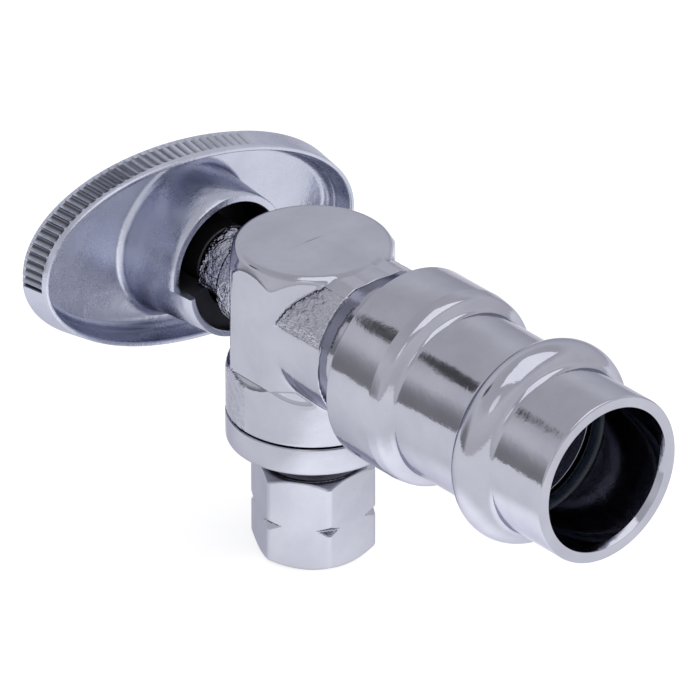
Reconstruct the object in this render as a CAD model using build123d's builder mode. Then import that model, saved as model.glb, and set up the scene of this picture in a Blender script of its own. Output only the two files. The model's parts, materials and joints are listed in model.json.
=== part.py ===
from build123d import *
import os
from math import cos, degrees, hypot, radians, sin, sqrt

# Quarter-turn angle stop valve with a copper press inlet and a small compression outlet.
# Millimetres.  Origin: centre of the inlet mouth.  +Y leaves the inlet towards the pipe,
# -Z leaves the outlet towards the supply tube, and the handle is at the -Y end.

# ---------------------------------------------------------------- driving dimensions
# press inlet, for 5/8 in OD (15.88 mm) copper tube
SOCKET_RADIUS = 8.0
SOCKET_DEPTH = 21.0
SOCKET_LEAD_RADIUS = 8.3
SOCKET_LEAD_LENGTH = 0.45
PRESS_OUTER_RADIUS = 9.63
BEAD_OUTER_RADIUS = 11.7
BEAD_CENTRE = 10.9
BEAD_ROUND = 2.6
BEAD_ROOT_ROUND = 0.9
O_RING_SECTION = 2.4
O_RING_GROOVE_ROUND = 1.3
O_RING_GROOVE_CENTRE_RADIUS = 9.1
O_RING_INNER_RADIUS = 7.86
JAW_COLLAR_RADIUS = 11.3
JAW_COLLAR_START = 24.1
JAW_COLLAR_END = 33.0
JAW_COLLAR_ROUND = 1.5
RELIEF_RADIUS = 8.0
RELIEF_END = 37.4
PASSAGE_RADIUS = 5.2
TUBE_STOP_RADIUS = 6.9
STOP_CONE_LENGTH = 3.0

# forged barrel round the ball, its axis vertical
BARREL_DISTANCE = 48.5
BARREL_RADIUS = 9.6
BARREL_TOP = 8.66
BARREL_BOTTOM = -12.0
TOP_DISC_RADIUS = 8.8
TOP_RIM_DEPTH = 0.6
TOP_CONE_DEPTH = 1.3
TOP_EDGE_ROUND = 0.3
SQUARE_FLAT_DISTANCE = 9.05
DIAGONAL_FLAT_DISTANCE = 8.8
FLAT_FLOOR = -5.45
FLAT_RUNOUT_SLOPE = 1.36
FLAT_CUT_DEPTH = 3.0

# forged boss between the barrel and the inlet: round, with thicker shoulders above its parting line
BOSS_RADIUS = 8.65
BOSS_SHOULDER_RADIUS = 9.12
BOSS_PARTING_HEIGHT = 3.0
BOSS_TOP = 8.5

# neck, stop lug and collar, seen from the handle side with angles from +X towards +Z
NECK_RADIUS = 5.5
NECK_END = 58.6
LUG_RADIUS = 5.3
LUG_END = 61.9
LUG_START_ANGLE = -6.0
LUG_SWEEP = 90.0
COLLAR_RADIUS = 4.2
COLLAR_END = 62.8
STEM_BORE_RADIUS = 3.0
SHOULDER_RECESS_RADIUS = 4.1
SHOULDER_RECESS_END = 56.3

# stem
STEM_RADIUS = 2.95
STEM_SHOULDER_RADIUS = 4.0
STEM_SHOULDER_FRONT = 54.9
STEM_SHOULDER_BACK = 55.9
STEM_ROUND_END = 63.0
STEM_END = 69.6
STEM_EDGE_CHAMFER = 0.3
TONGUE_WIDTH = 2.0
TONGUE_LENGTH = 5.4
TONGUE_FRONT = 53.0
DRIVE_SQUARE = 4.0
STEM_SEAL_SECTION = 0.9
STEM_SEAL_CENTRE_RADIUS = 2.54
STEM_SEAL_DISTANCES = (57.75, 60.55)
STEM_GROOVE_RADIUS = 2.08
STEM_GROOVE_WIDTH = 1.1
STEM_TAP_RADIUS = 1.5
STEM_TAP_DEPTH = 3.6

# ball, seats and their cushion rings
BALL_RADIUS = 6.0
BALL_BORE_RADIUS = 3.0
BALL_PORT_RADIUS = 2.8
BALL_BORE_PAST_CENTRE = 2.0
BALL_SLOT_WIDTH = 2.2
BALL_SLOT_FLOOR = 52.8
CHAMBER_RADIUS = 6.3
CHAMBER_TOP = 6.75
CHAMBER_BOTTOM = -6.8
SEAT_RADIUS = 6.25
SEAT_HOLE_RADIUS = 3.3
SEAT_INNER_FACE = 3.6
SEAT_OUTER_FACE = 5.7
SEAT_SPHERE_RADIUS = 6.02
CUSHION_SECTION = 1.0
CUSHION_CENTRE_RADIUS = 5.6
CUSHION_HEIGHT = 6.2

# outlet adapter, for 1/4 in OD (6.35 mm) supply tube
BODY_THREAD_RADIUS = 7.45
FACE_SEAL_RECESS_RADIUS = 8.7
FACE_SEAL_RECESS_TOP = -10.8
FACE_SEAL_SECTION = 1.2
FACE_SEAL_CENTRE_RADIUS = 8.05
FACE_SEAL_HEIGHT = -11.42
ADAPTER_PLUG_RADIUS = 7.4
ADAPTER_TOP = -6.85
ADAPTER_FLANGE_RADIUS = 9.65
ADAPTER_FLANGE_TOP = -12.12
ADAPTER_FLANGE_BOTTOM = -15.57
ADAPTER_FLANGE_ROUND = 0.7
ADAPTER_TOP_ROUND = 0.25
ADAPTER_RELIEF_RADIUS = 5.1
ADAPTER_THREAD_TOP = -16.7
ADAPTER_THREAD_RADIUS = 5.5
ADAPTER_END = -23.4
ADAPTER_END_CHAMFER = 0.5
ADAPTER_BORE_RADIUS = 2.6
TUBE_SOCKET_RADIUS = 3.25
TUBE_SOCKET_TOP = -17.4
FERRULE_CONE_RADIUS = 4.35
FERRULE_CONE_TOP = -21.4

# compression nut and sleeve
NUT_ACROSS_FLATS = 12.4
NUT_CORNER_RADIUS = 7.1
NUT_TURN = 5.0
NUT_TOP = -18.3
NUT_BOTTOM = -29.9
NUT_TOP_FACE_RADIUS = 6.1
NUT_TOP_CHAMFER_HEIGHT = 0.6
NUT_BOTTOM_FACE_RADIUS = 5.2
NUT_BOTTOM_CHAMFER_HEIGHT = 1.2
NUT_THREAD_RADIUS = 5.57
NUT_THREAD_BOTTOM = -24.6
NUT_CUP_RADIUS = 4.6
NUT_CUP_BOTTOM = -25.6
NUT_CONE_BOTTOM = -28.0
NUT_HOLE_RADIUS = 3.3
NUT_GROOVE_HEIGHT = -24.2
NUT_GROOVE_DEPTH = 0.45
NUT_GROOVE_HALF_WIDTH = 0.5
SLEEVE_INNER_RADIUS = 3.23
SLEEVE_MIDDLE_RADIUS = 4.25
SLEEVE_END_RADIUS = 3.65
SLEEVE_TOP = -22.55
SLEEVE_BOTTOM = -27.0
SLEEVE_TAPER_LENGTH = 1.35

# oval handle with its hub, turned a little off crosswise
HANDLE_TILT = 9.2
HANDLE_BACK = 67.4
HANDLE_BACK_HALF_LENGTH = 22.3
HANDLE_BACK_HALF_WIDTH = 11.35
HANDLE_SHOULDER = 70.8
HANDLE_HALF_LENGTH = 22.9
HANDLE_HALF_WIDTH = 11.95
HANDLE_CROWN = 3.4
CROWN_CENTRE = 69.6
CROWN_SPREAD = 1.08
HANDLE_RIM_LIP = 0.5
HANDLE_FLOOR = 71.0
HANDLE_FLOOR_HALF_LENGTH = 21.1
HANDLE_FLOOR_HALF_WIDTH = 10.25
FLUTE_RADIUS = 0.42
FLUTE_TIP_PITCH = 0.95
FLUTE_SIDE_PITCH = 1.13
FLUTE_LENGTH = 2.65
FLUTE_START_ANGLE = -8.9
FLUTES_PER_SIDE = 35
HUB_TIP_RADIUS = 7.8
HUB_ROOT_RADIUS = 8.7
HUB_ROOT_BITE = 0.2
HUB_BORE_RADIUS = 7.1
HUB_END = 60.0
HUB_WINDOW_END = 62.7
HUB_WINDOW_START_ANGLE = -7.0
HUB_WINDOW_SWEEP = 180.0
HUB_CAVITY_FLOOR = 68.4
HUB_CORE_RADIUS = 4.1
HUB_CORE_END = 63.2
DRIVE_HOLE_SIZE = 4.1
DRIVE_HOLE_FLOOR = 69.8
STOP_TAB_START_ANGLE = 175.0
STOP_TAB_SWEEP = 178.0
STOP_TAB_INNER_RADIUS = 4.6
STOP_TAB_END = 60.9
HEAD_POCKET_RADIUS = 3.5
HEAD_POCKET_FLOOR = 71.8
SCREW_HOLE_RADIUS = 1.65

# handle screw and its lock washer
LOCK_WASHER_RADIUS = 2.9
LOCK_WASHER_FRONT = 72.4
SCREW_RADIUS = 1.45
SCREW_END = 66.3
SCREW_HEAD_RADIUS = 2.8
SCREW_HEAD_FRONT = 74.0
SCREW_HEAD_ROUND = 0.6
SCREW_SLOT_LENGTH = 3.2
SCREW_SLOT_WIDTH = 0.8
SCREW_SLOT_DEPTH = 0.7
THRUST_WASHER_INNER_RADIUS = 3.0

# turned edges, and how near an edge must lie to a station to be taken for it
SAME_PLACE = 0.01
MOUTH_EDGE_ROUND = 0.35
JAW_COLLAR_ROOT_ROUND = 0.9

os.makedirs("parts", exist_ok=True)


def save(piece, name):
    """Label a finished sub-part and write it as its own file."""
    piece.part.label = name
    export_step(piece.part, "parts/" + name + ".step")


def facing_handle(distance):
    """Plane square to the inlet axis, this far behind the mouth, seen from the handle side."""
    return Plane(origin=(0, -distance, 0), x_dir=(1, 0, 0), z_dir=(0, -1, 0))


def handle_plane(distance):
    """The same plane, turned with the handle so that its x runs along the oval."""
    along = (cos(radians(HANDLE_TILT)), 0, sin(radians(HANDLE_TILT)))
    return Plane(origin=(0, -distance, 0), x_dir=along, z_dir=(0, -1, 0))


def pie(radius, start_angle, sweep):
    """Pie slice centred on the origin of the sketch that it is added to."""
    with BuildSketch() as pie_slice:
        with BuildLine():
            rim = CenterArc((0, 0), radius, start_angle, sweep)
            Line((0, 0), rim @ 0)
            Line(rim @ 1, (0, 0))
        make_face()
    return pie_slice.sketch


# profiles about the barrel axis are drawn on this plane: x is the radius and y is the height
barrel_section = facing_handle(BARREL_DISTANCE)
barrel_axis = Axis((0, -BARREL_DISTANCE, 0), (0, 0, 1))


def barrel_ring(centre_radius, section, height):
    """Rubber ring of round section lying flat about the barrel axis."""
    with BuildPart() as ring:
        with BuildSketch(barrel_section):
            with Locations((centre_radius, height)):
                Circle(section / 2)
        revolve(axis=barrel_axis)
    return ring


def inlet_ring(centre_radius, section, distance):
    """Rubber ring of round section about the inlet and stem axis."""
    with BuildPart() as ring:
        with BuildSketch(Plane.XY):
            with Locations((centre_radius, -distance)):
                Circle(section / 2)
        revolve(axis=Axis.Y)
    return ring


# ---------------------------------------------------------------- valve body
# turned press inlet: tube, O-ring bead, tube, jaw collar and the relief behind it
bead_half_width = sqrt(BEAD_ROUND**2 - (PRESS_OUTER_RADIUS - BEAD_OUTER_RADIUS + BEAD_ROUND) ** 2)
bead_front = BEAD_CENTRE - bead_half_width
bead_back = BEAD_CENTRE + bead_half_width

with BuildPart() as press_inlet:
    with BuildSketch(Plane.XY):
        with BuildLine():
            Polyline((0, -RELIEF_END), (0, 0), (PRESS_OUTER_RADIUS, 0), (PRESS_OUTER_RADIUS, -bead_front))
            ThreePointArc(
                (PRESS_OUTER_RADIUS, -bead_front),
                (BEAD_OUTER_RADIUS, -BEAD_CENTRE),
                (PRESS_OUTER_RADIUS, -bead_back),
            )
            Polyline(
                (PRESS_OUTER_RADIUS, -bead_back),
                (PRESS_OUTER_RADIUS, -JAW_COLLAR_START),
                (JAW_COLLAR_RADIUS, -JAW_COLLAR_START),
                (JAW_COLLAR_RADIUS, -JAW_COLLAR_END),
                (RELIEF_RADIUS, -JAW_COLLAR_END),
                (RELIEF_RADIUS, -RELIEF_END),
                (0, -RELIEF_END),
            )
        make_face()
    revolve(axis=Axis.Y)
    circles = press_inlet.edges().filter_by(GeomType.CIRCLE)
    bead_roots = circles.filter_by(
        lambda edge: abs(abs(edge.center().Y + BEAD_CENTRE) - bead_half_width) < SAME_PLACE
    )
    fillet(bead_roots, BEAD_ROOT_ROUND)
    collar_front = press_inlet.edges().filter_by(GeomType.CIRCLE).filter_by(
        lambda edge: abs(edge.center().Y + JAW_COLLAR_START) < SAME_PLACE
    )
    fillet(collar_front.sort_by(lambda edge: edge.radius)[-1], JAW_COLLAR_ROUND)
    collar_root = press_inlet.edges().filter_by(GeomType.CIRCLE).filter_by(
        lambda edge: abs(edge.center().Y + JAW_COLLAR_START) < SAME_PLACE
    )
    fillet(collar_root.sort_by(lambda edge: edge.radius)[0], JAW_COLLAR_ROOT_ROUND)
    mouth_edge = press_inlet.faces().sort_by(Axis.Y)[-1].edges()
    fillet(mouth_edge, MOUTH_EDGE_ROUND)

# barrel: turned, coned at the top, with flats that run out above its round foot
square_flats = [(angle, SQUARE_FLAT_DISTANCE) for angle in (0, 180, 270)]
diagonal_flats = [(angle, DIAGONAL_FLAT_DISTANCE) for angle in (45, 135, 225, 315)]
cone_bottom = BARREL_TOP - TOP_RIM_DEPTH - TOP_CONE_DEPTH

with BuildPart() as barrel:
    with BuildSketch(barrel_section):
        with BuildLine():
            Polyline(
                (0, BARREL_BOTTOM),
                (BARREL_RADIUS, BARREL_BOTTOM),
                (BARREL_RADIUS, cone_bottom),
                (TOP_DISC_RADIUS, BARREL_TOP - TOP_RIM_DEPTH),
                (TOP_DISC_RADIUS, BARREL_TOP),
                (0, BARREL_TOP),
                close=True,
            )
        make_face()
    revolve(axis=barrel_axis)
    for angle, distance in square_flats + diagonal_flats:
        outward = Vector(1, 0, 0).rotate(Axis.Z, angle)
        across = outward.cross(Vector(0, 0, 1))
        flat_section = Plane(origin=(0, -BARREL_DISTANCE, 0), x_dir=outward, z_dir=across)
        with BuildSketch(flat_section):
            with BuildLine():
                Polyline(
                    (distance, FLAT_FLOOR),
                    (distance, BARREL_TOP + FLAT_CUT_DEPTH),
                    (distance + FLAT_CUT_DEPTH, BARREL_TOP + FLAT_CUT_DEPTH),
                    (distance + FLAT_CUT_DEPTH, FLAT_FLOOR - FLAT_RUNOUT_SLOPE * FLAT_CUT_DEPTH),
                    close=True,
                )
            make_face()
        extrude(amount=BARREL_RADIUS, both=True, mode=Mode.SUBTRACT)
    fillet(barrel.faces().sort_by(Axis.Z)[-1].edges(), TOP_EDGE_ROUND)

# boss: round, its shoulders above the parting line thicker and level on top
with BuildPart() as boss:
    with BuildSketch(facing_handle(RELIEF_END)):
        Circle(BOSS_SHOULDER_RADIUS)
        with Locations((0, (BOSS_PARTING_HEIGHT + BOSS_TOP) / 2)):
            Rectangle(2 * BOSS_SHOULDER_RADIUS, BOSS_TOP - BOSS_PARTING_HEIGHT, mode=Mode.INTERSECT)
        Circle(BOSS_RADIUS)
    extrude(amount=BARREL_DISTANCE - RELIEF_END)

# valve body: press inlet, boss, barrel and neck forged as one, then bored out
with BuildPart() as valve_body:
    add(press_inlet.part)
    add(boss.part)
    add(barrel.part)
    with BuildSketch(facing_handle(BARREL_DISTANCE)):
        Circle(NECK_RADIUS)
    extrude(amount=NECK_END - BARREL_DISTANCE)
    with BuildSketch(facing_handle(BARREL_DISTANCE)):
        add(pie(LUG_RADIUS, LUG_START_ANGLE, LUG_SWEEP))
    extrude(amount=LUG_END - BARREL_DISTANCE)
    with BuildSketch(facing_handle(BARREL_DISTANCE)):
        Circle(COLLAR_RADIUS)
    extrude(amount=COLLAR_END - BARREL_DISTANCE)
    # tube socket, tube stop and water passage
    with BuildSketch(Plane.XY):
        with BuildLine():
            Polyline(
                (0, 0),
                (SOCKET_LEAD_RADIUS, 0),
                (SOCKET_RADIUS, -SOCKET_LEAD_LENGTH),
                (SOCKET_RADIUS, -SOCKET_DEPTH),
                (TUBE_STOP_RADIUS, -SOCKET_DEPTH),
                (PASSAGE_RADIUS, -SOCKET_DEPTH - STOP_CONE_LENGTH),
                (PASSAGE_RADIUS, -BARREL_DISTANCE),
                (0, -BARREL_DISTANCE),
                close=True,
            )
        make_face()
    revolve(axis=Axis.Y, mode=Mode.SUBTRACT)
    # groove inside the bead for the press O-ring
    with BuildSketch(Plane.XY):
        with Locations((O_RING_GROOVE_CENTRE_RADIUS, -BEAD_CENTRE)):
            Circle(O_RING_GROOVE_ROUND)
        with Locations((SOCKET_RADIUS, -BEAD_CENTRE)):
            Rectangle(2 * (O_RING_GROOVE_CENTRE_RADIUS - SOCKET_RADIUS), 2 * O_RING_GROOVE_ROUND)
    revolve(axis=Axis.Y, mode=Mode.SUBTRACT)
    # ball chamber, face seal recess and the thread bore that takes the outlet adapter
    with BuildSketch(barrel_section):
        with BuildLine():
            Polyline(
                (0, CHAMBER_TOP),
                (CHAMBER_RADIUS, CHAMBER_TOP),
                (CHAMBER_RADIUS, CHAMBER_BOTTOM),
                (BODY_THREAD_RADIUS, CHAMBER_BOTTOM),
                (BODY_THREAD_RADIUS, FACE_SEAL_RECESS_TOP),
                (FACE_SEAL_RECESS_RADIUS, FACE_SEAL_RECESS_TOP),
                (FACE_SEAL_RECESS_RADIUS, BARREL_BOTTOM),
                (0, BARREL_BOTTOM),
                close=True,
            )
        make_face()
    revolve(axis=barrel_axis, mode=Mode.SUBTRACT)
    # stem bore and the recess that traps the stem's shoulder from the inside
    with BuildSketch(facing_handle(BARREL_DISTANCE)):
        Circle(STEM_BORE_RADIUS)
    extrude(amount=COLLAR_END - BARREL_DISTANCE, mode=Mode.SUBTRACT)
    with BuildSketch(facing_handle(BARREL_DISTANCE)):
        Circle(SHOULDER_RECESS_RADIUS)
    extrude(amount=SHOULDER_RECESS_END - BARREL_DISTANCE, mode=Mode.SUBTRACT)
save(valve_body, "valve_body")

press_o_ring = inlet_ring(O_RING_INNER_RADIUS + O_RING_SECTION / 2, O_RING_SECTION, BEAD_CENTRE)
save(press_o_ring, "press_o_ring")

# ---------------------------------------------------------------- ball and seats
# ball: one bore from the inlet, one port at right angles to it and a slot for the stem
with BuildPart() as ball:
    with Locations((0, -BARREL_DISTANCE, 0)):
        Sphere(BALL_RADIUS)
    with BuildSketch(facing_handle(BARREL_DISTANCE - BALL_RADIUS)):
        Circle(BALL_BORE_RADIUS)
    extrude(amount=BALL_RADIUS + BALL_BORE_PAST_CENTRE, mode=Mode.SUBTRACT)
    with BuildSketch(Plane(origin=(0, -BARREL_DISTANCE, -BALL_RADIUS))):
        Circle(BALL_PORT_RADIUS)
    extrude(amount=BALL_RADIUS, mode=Mode.SUBTRACT)
    with BuildSketch(facing_handle(BALL_SLOT_FLOOR)):
        Rectangle(2 * BALL_RADIUS, BALL_SLOT_WIDTH)
    extrude(amount=BALL_RADIUS, mode=Mode.SUBTRACT)
save(ball, "ball")

# seats: one ring above the ball and one below it, each hollowed to the ball's sphere
for side, name in ((1, "upper"), (-1, "lower")):
    with BuildPart() as seat:
        with BuildSketch(Plane(origin=(0, -BARREL_DISTANCE, side * SEAT_INNER_FACE), z_dir=(0, 0, side))):
            Circle(SEAT_RADIUS)
            Circle(SEAT_HOLE_RADIUS, mode=Mode.SUBTRACT)
        extrude(amount=SEAT_OUTER_FACE - SEAT_INNER_FACE)
        with Locations((0, -BARREL_DISTANCE, 0)):
            Sphere(SEAT_SPHERE_RADIUS, mode=Mode.SUBTRACT)
    save(seat, name + "_ball_seat")
    cushion_ring = barrel_ring(CUSHION_CENTRE_RADIUS, CUSHION_SECTION, side * CUSHION_HEIGHT)
    save(cushion_ring, name + "_seat_cushion_ring")

# ---------------------------------------------------------------- stem and its seals
with BuildPart() as stem:
    with BuildSketch(facing_handle(TONGUE_FRONT)):
        Rectangle(TONGUE_LENGTH, TONGUE_WIDTH)
    extrude(amount=STEM_SHOULDER_FRONT - TONGUE_FRONT)
    with BuildSketch(facing_handle(STEM_SHOULDER_FRONT)):
        Circle(STEM_SHOULDER_RADIUS)
    extrude(amount=STEM_SHOULDER_BACK - STEM_SHOULDER_FRONT)
    with BuildSketch(facing_handle(STEM_SHOULDER_BACK)):
        Circle(STEM_RADIUS)
    extrude(amount=STEM_ROUND_END - STEM_SHOULDER_BACK)
    with BuildSketch(handle_plane(STEM_ROUND_END)):
        Rectangle(DRIVE_SQUARE, DRIVE_SQUARE)
    extrude(amount=STEM_END - STEM_ROUND_END)
    chamfer(stem.faces().sort_by(Axis.Y)[0].edges(), STEM_EDGE_CHAMFER)
    with BuildSketch(facing_handle(STEM_END)):
        Circle(STEM_TAP_RADIUS)
    extrude(amount=-STEM_TAP_DEPTH, mode=Mode.SUBTRACT)
    for distance in STEM_SEAL_DISTANCES:
        with BuildSketch(facing_handle(distance)):
            Circle(STEM_SHOULDER_RADIUS)
            Circle(STEM_GROOVE_RADIUS, mode=Mode.SUBTRACT)
        extrude(amount=STEM_GROOVE_WIDTH / 2, both=True, mode=Mode.SUBTRACT)
save(stem, "stem")

for distance, name in zip(STEM_SEAL_DISTANCES, ("stem_inner_o_ring", "stem_outer_o_ring")):
    save(inlet_ring(STEM_SEAL_CENTRE_RADIUS, STEM_SEAL_SECTION, distance), name)

with BuildPart() as stem_thrust_washer:
    with BuildSketch(facing_handle(STEM_SHOULDER_BACK)):
        Circle(STEM_SHOULDER_RADIUS)
        Circle(THRUST_WASHER_INNER_RADIUS, mode=Mode.SUBTRACT)
    extrude(amount=SHOULDER_RECESS_END - STEM_SHOULDER_BACK)
save(stem_thrust_washer, "stem_thrust_washer")

# ---------------------------------------------------------------- outlet adapter, sleeve and nut
with BuildPart() as outlet_adapter:
    with BuildSketch(barrel_section):
        with BuildLine():
            Polyline(
                (ADAPTER_BORE_RADIUS, ADAPTER_TOP),
                (ADAPTER_PLUG_RADIUS, ADAPTER_TOP),
                (ADAPTER_PLUG_RADIUS, ADAPTER_FLANGE_TOP),
                (ADAPTER_FLANGE_RADIUS, ADAPTER_FLANGE_TOP),
                (ADAPTER_FLANGE_RADIUS, ADAPTER_FLANGE_BOTTOM),
                (ADAPTER_RELIEF_RADIUS, ADAPTER_FLANGE_BOTTOM),
                (ADAPTER_RELIEF_RADIUS, ADAPTER_THREAD_TOP),
                (ADAPTER_THREAD_RADIUS, ADAPTER_THREAD_TOP),
                (ADAPTER_THREAD_RADIUS, ADAPTER_END + ADAPTER_END_CHAMFER),
                (ADAPTER_THREAD_RADIUS - ADAPTER_END_CHAMFER, ADAPTER_END),
                (FERRULE_CONE_RADIUS, ADAPTER_END),
                (TUBE_SOCKET_RADIUS, FERRULE_CONE_TOP),
                (TUBE_SOCKET_RADIUS, TUBE_SOCKET_TOP),
                (ADAPTER_BORE_RADIUS, TUBE_SOCKET_TOP),
                close=True,
            )
        make_face()
    revolve(axis=barrel_axis)
    rim_edges = outlet_adapter.edges().filter_by(GeomType.CIRCLE).group_by(lambda edge: edge.radius)[-1]
    fillet(rim_edges.sort_by(Axis.Z)[0], ADAPTER_FLANGE_ROUND)
    rim_edges = outlet_adapter.edges().filter_by(GeomType.CIRCLE).group_by(lambda edge: edge.radius)[-1]
    fillet(rim_edges.sort_by(Axis.Z)[-1], ADAPTER_TOP_ROUND)
save(outlet_adapter, "outlet_adapter")

adapter_o_ring = barrel_ring(FACE_SEAL_CENTRE_RADIUS, FACE_SEAL_SECTION, FACE_SEAL_HEIGHT)
save(adapter_o_ring, "adapter_o_ring")

with BuildPart() as compression_sleeve:
    with BuildSketch(barrel_section):
        with BuildLine():
            Polyline(
                (SLEEVE_INNER_RADIUS, SLEEVE_TOP),
                (SLEEVE_END_RADIUS, SLEEVE_TOP),
                (SLEEVE_MIDDLE_RADIUS, SLEEVE_TOP - SLEEVE_TAPER_LENGTH),
                (SLEEVE_MIDDLE_RADIUS, SLEEVE_BOTTOM + SLEEVE_TAPER_LENGTH),
                (SLEEVE_END_RADIUS, SLEEVE_BOTTOM),
                (SLEEVE_INNER_RADIUS, SLEEVE_BOTTOM),
                close=True,
            )
        make_face()
    revolve(axis=barrel_axis)
save(compression_sleeve, "compression_sleeve")

# nut: a hexagon turned down to a chamfered cylinder, grooved, then bored from the top
with BuildPart() as compression_nut:
    with BuildSketch(Plane(origin=(0, -BARREL_DISTANCE, NUT_BOTTOM))):
        RegularPolygon(NUT_ACROSS_FLATS / 2, 6, major_radius=False, rotation=NUT_TURN)
    extrude(amount=NUT_TOP - NUT_BOTTOM)
    with BuildSketch(barrel_section):
        with BuildLine():
            Polyline(
                (0, NUT_TOP),
                (NUT_TOP_FACE_RADIUS, NUT_TOP),
                (NUT_CORNER_RADIUS, NUT_TOP - NUT_TOP_CHAMFER_HEIGHT),
                (NUT_CORNER_RADIUS, NUT_GROOVE_HEIGHT + NUT_GROOVE_HALF_WIDTH),
                (NUT_CORNER_RADIUS - NUT_GROOVE_DEPTH, NUT_GROOVE_HEIGHT),
                (NUT_CORNER_RADIUS, NUT_GROOVE_HEIGHT - NUT_GROOVE_HALF_WIDTH),
                (NUT_CORNER_RADIUS, NUT_BOTTOM + NUT_BOTTOM_CHAMFER_HEIGHT),
                (NUT_BOTTOM_FACE_RADIUS, NUT_BOTTOM),
                (0, NUT_BOTTOM),
                close=True,
            )
        make_face()
    revolve(axis=barrel_axis, mode=Mode.INTERSECT)
    with BuildSketch(barrel_section):
        with BuildLine():
            Polyline(
                (0, NUT_TOP),
                (NUT_THREAD_RADIUS, NUT_TOP),
                (NUT_THREAD_RADIUS, NUT_THREAD_BOTTOM),
                (NUT_CUP_RADIUS, NUT_THREAD_BOTTOM),
                (NUT_CUP_RADIUS, NUT_CUP_BOTTOM),
                (NUT_HOLE_RADIUS, NUT_CONE_BOTTOM),
                (NUT_HOLE_RADIUS, NUT_BOTTOM),
                (0, NUT_BOTTOM),
                close=True,
            )
        make_face()
    revolve(axis=barrel_axis, mode=Mode.SUBTRACT)
save(compression_nut, "compression_nut")

# ---------------------------------------------------------------- handle


def wall_point(angle, distance):
    """Point on the oval's side wall at this angle round the oval and distance behind the mouth."""
    share = (distance - HANDLE_BACK) / (HANDLE_SHOULDER - HANDLE_BACK)
    half_length = HANDLE_BACK_HALF_LENGTH + share * (HANDLE_HALF_LENGTH - HANDLE_BACK_HALF_LENGTH)
    half_width = HANDLE_BACK_HALF_WIDTH + share * (HANDLE_HALF_WIDTH - HANDLE_BACK_HALF_WIDTH)
    x = half_length * cos(radians(angle))
    y = half_width * sin(radians(angle))
    return handle_plane(distance).from_local_coords(Vector(x, y, 0))


# finger flutes run in two equal stretches that start opposite each other, a little closer at the oval's tips
flute_planes = []
for start_angle in (FLUTE_START_ANGLE, FLUTE_START_ANGLE + 180):
    angle = start_angle
    for flute in range(FLUTES_PER_SIDE):
        front = wall_point(angle, HANDLE_SHOULDER)
        back = wall_point(angle, HANDLE_SHOULDER - FLUTE_LENGTH)
        flute_planes.append(Plane(origin=(front + back) / 2, z_dir=front - back))
        travel = hypot(HANDLE_HALF_LENGTH * sin(radians(angle)), HANDLE_HALF_WIDTH * cos(radians(angle)))
        pitch = FLUTE_TIP_PITCH + (FLUTE_SIDE_PITCH - FLUTE_TIP_PITCH) * sin(radians(angle)) ** 2
        angle += degrees(pitch / travel)

# crown: a ball stretched to a little more than the oval, whose front trims the handle's face
with BuildPart() as crown:
    Sphere(1)
    crown_reach = HANDLE_SHOULDER + HANDLE_CROWN - CROWN_CENTRE
    scale(by=(CROWN_SPREAD * HANDLE_HALF_LENGTH, CROWN_SPREAD * HANDLE_HALF_WIDTH, crown_reach))

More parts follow.
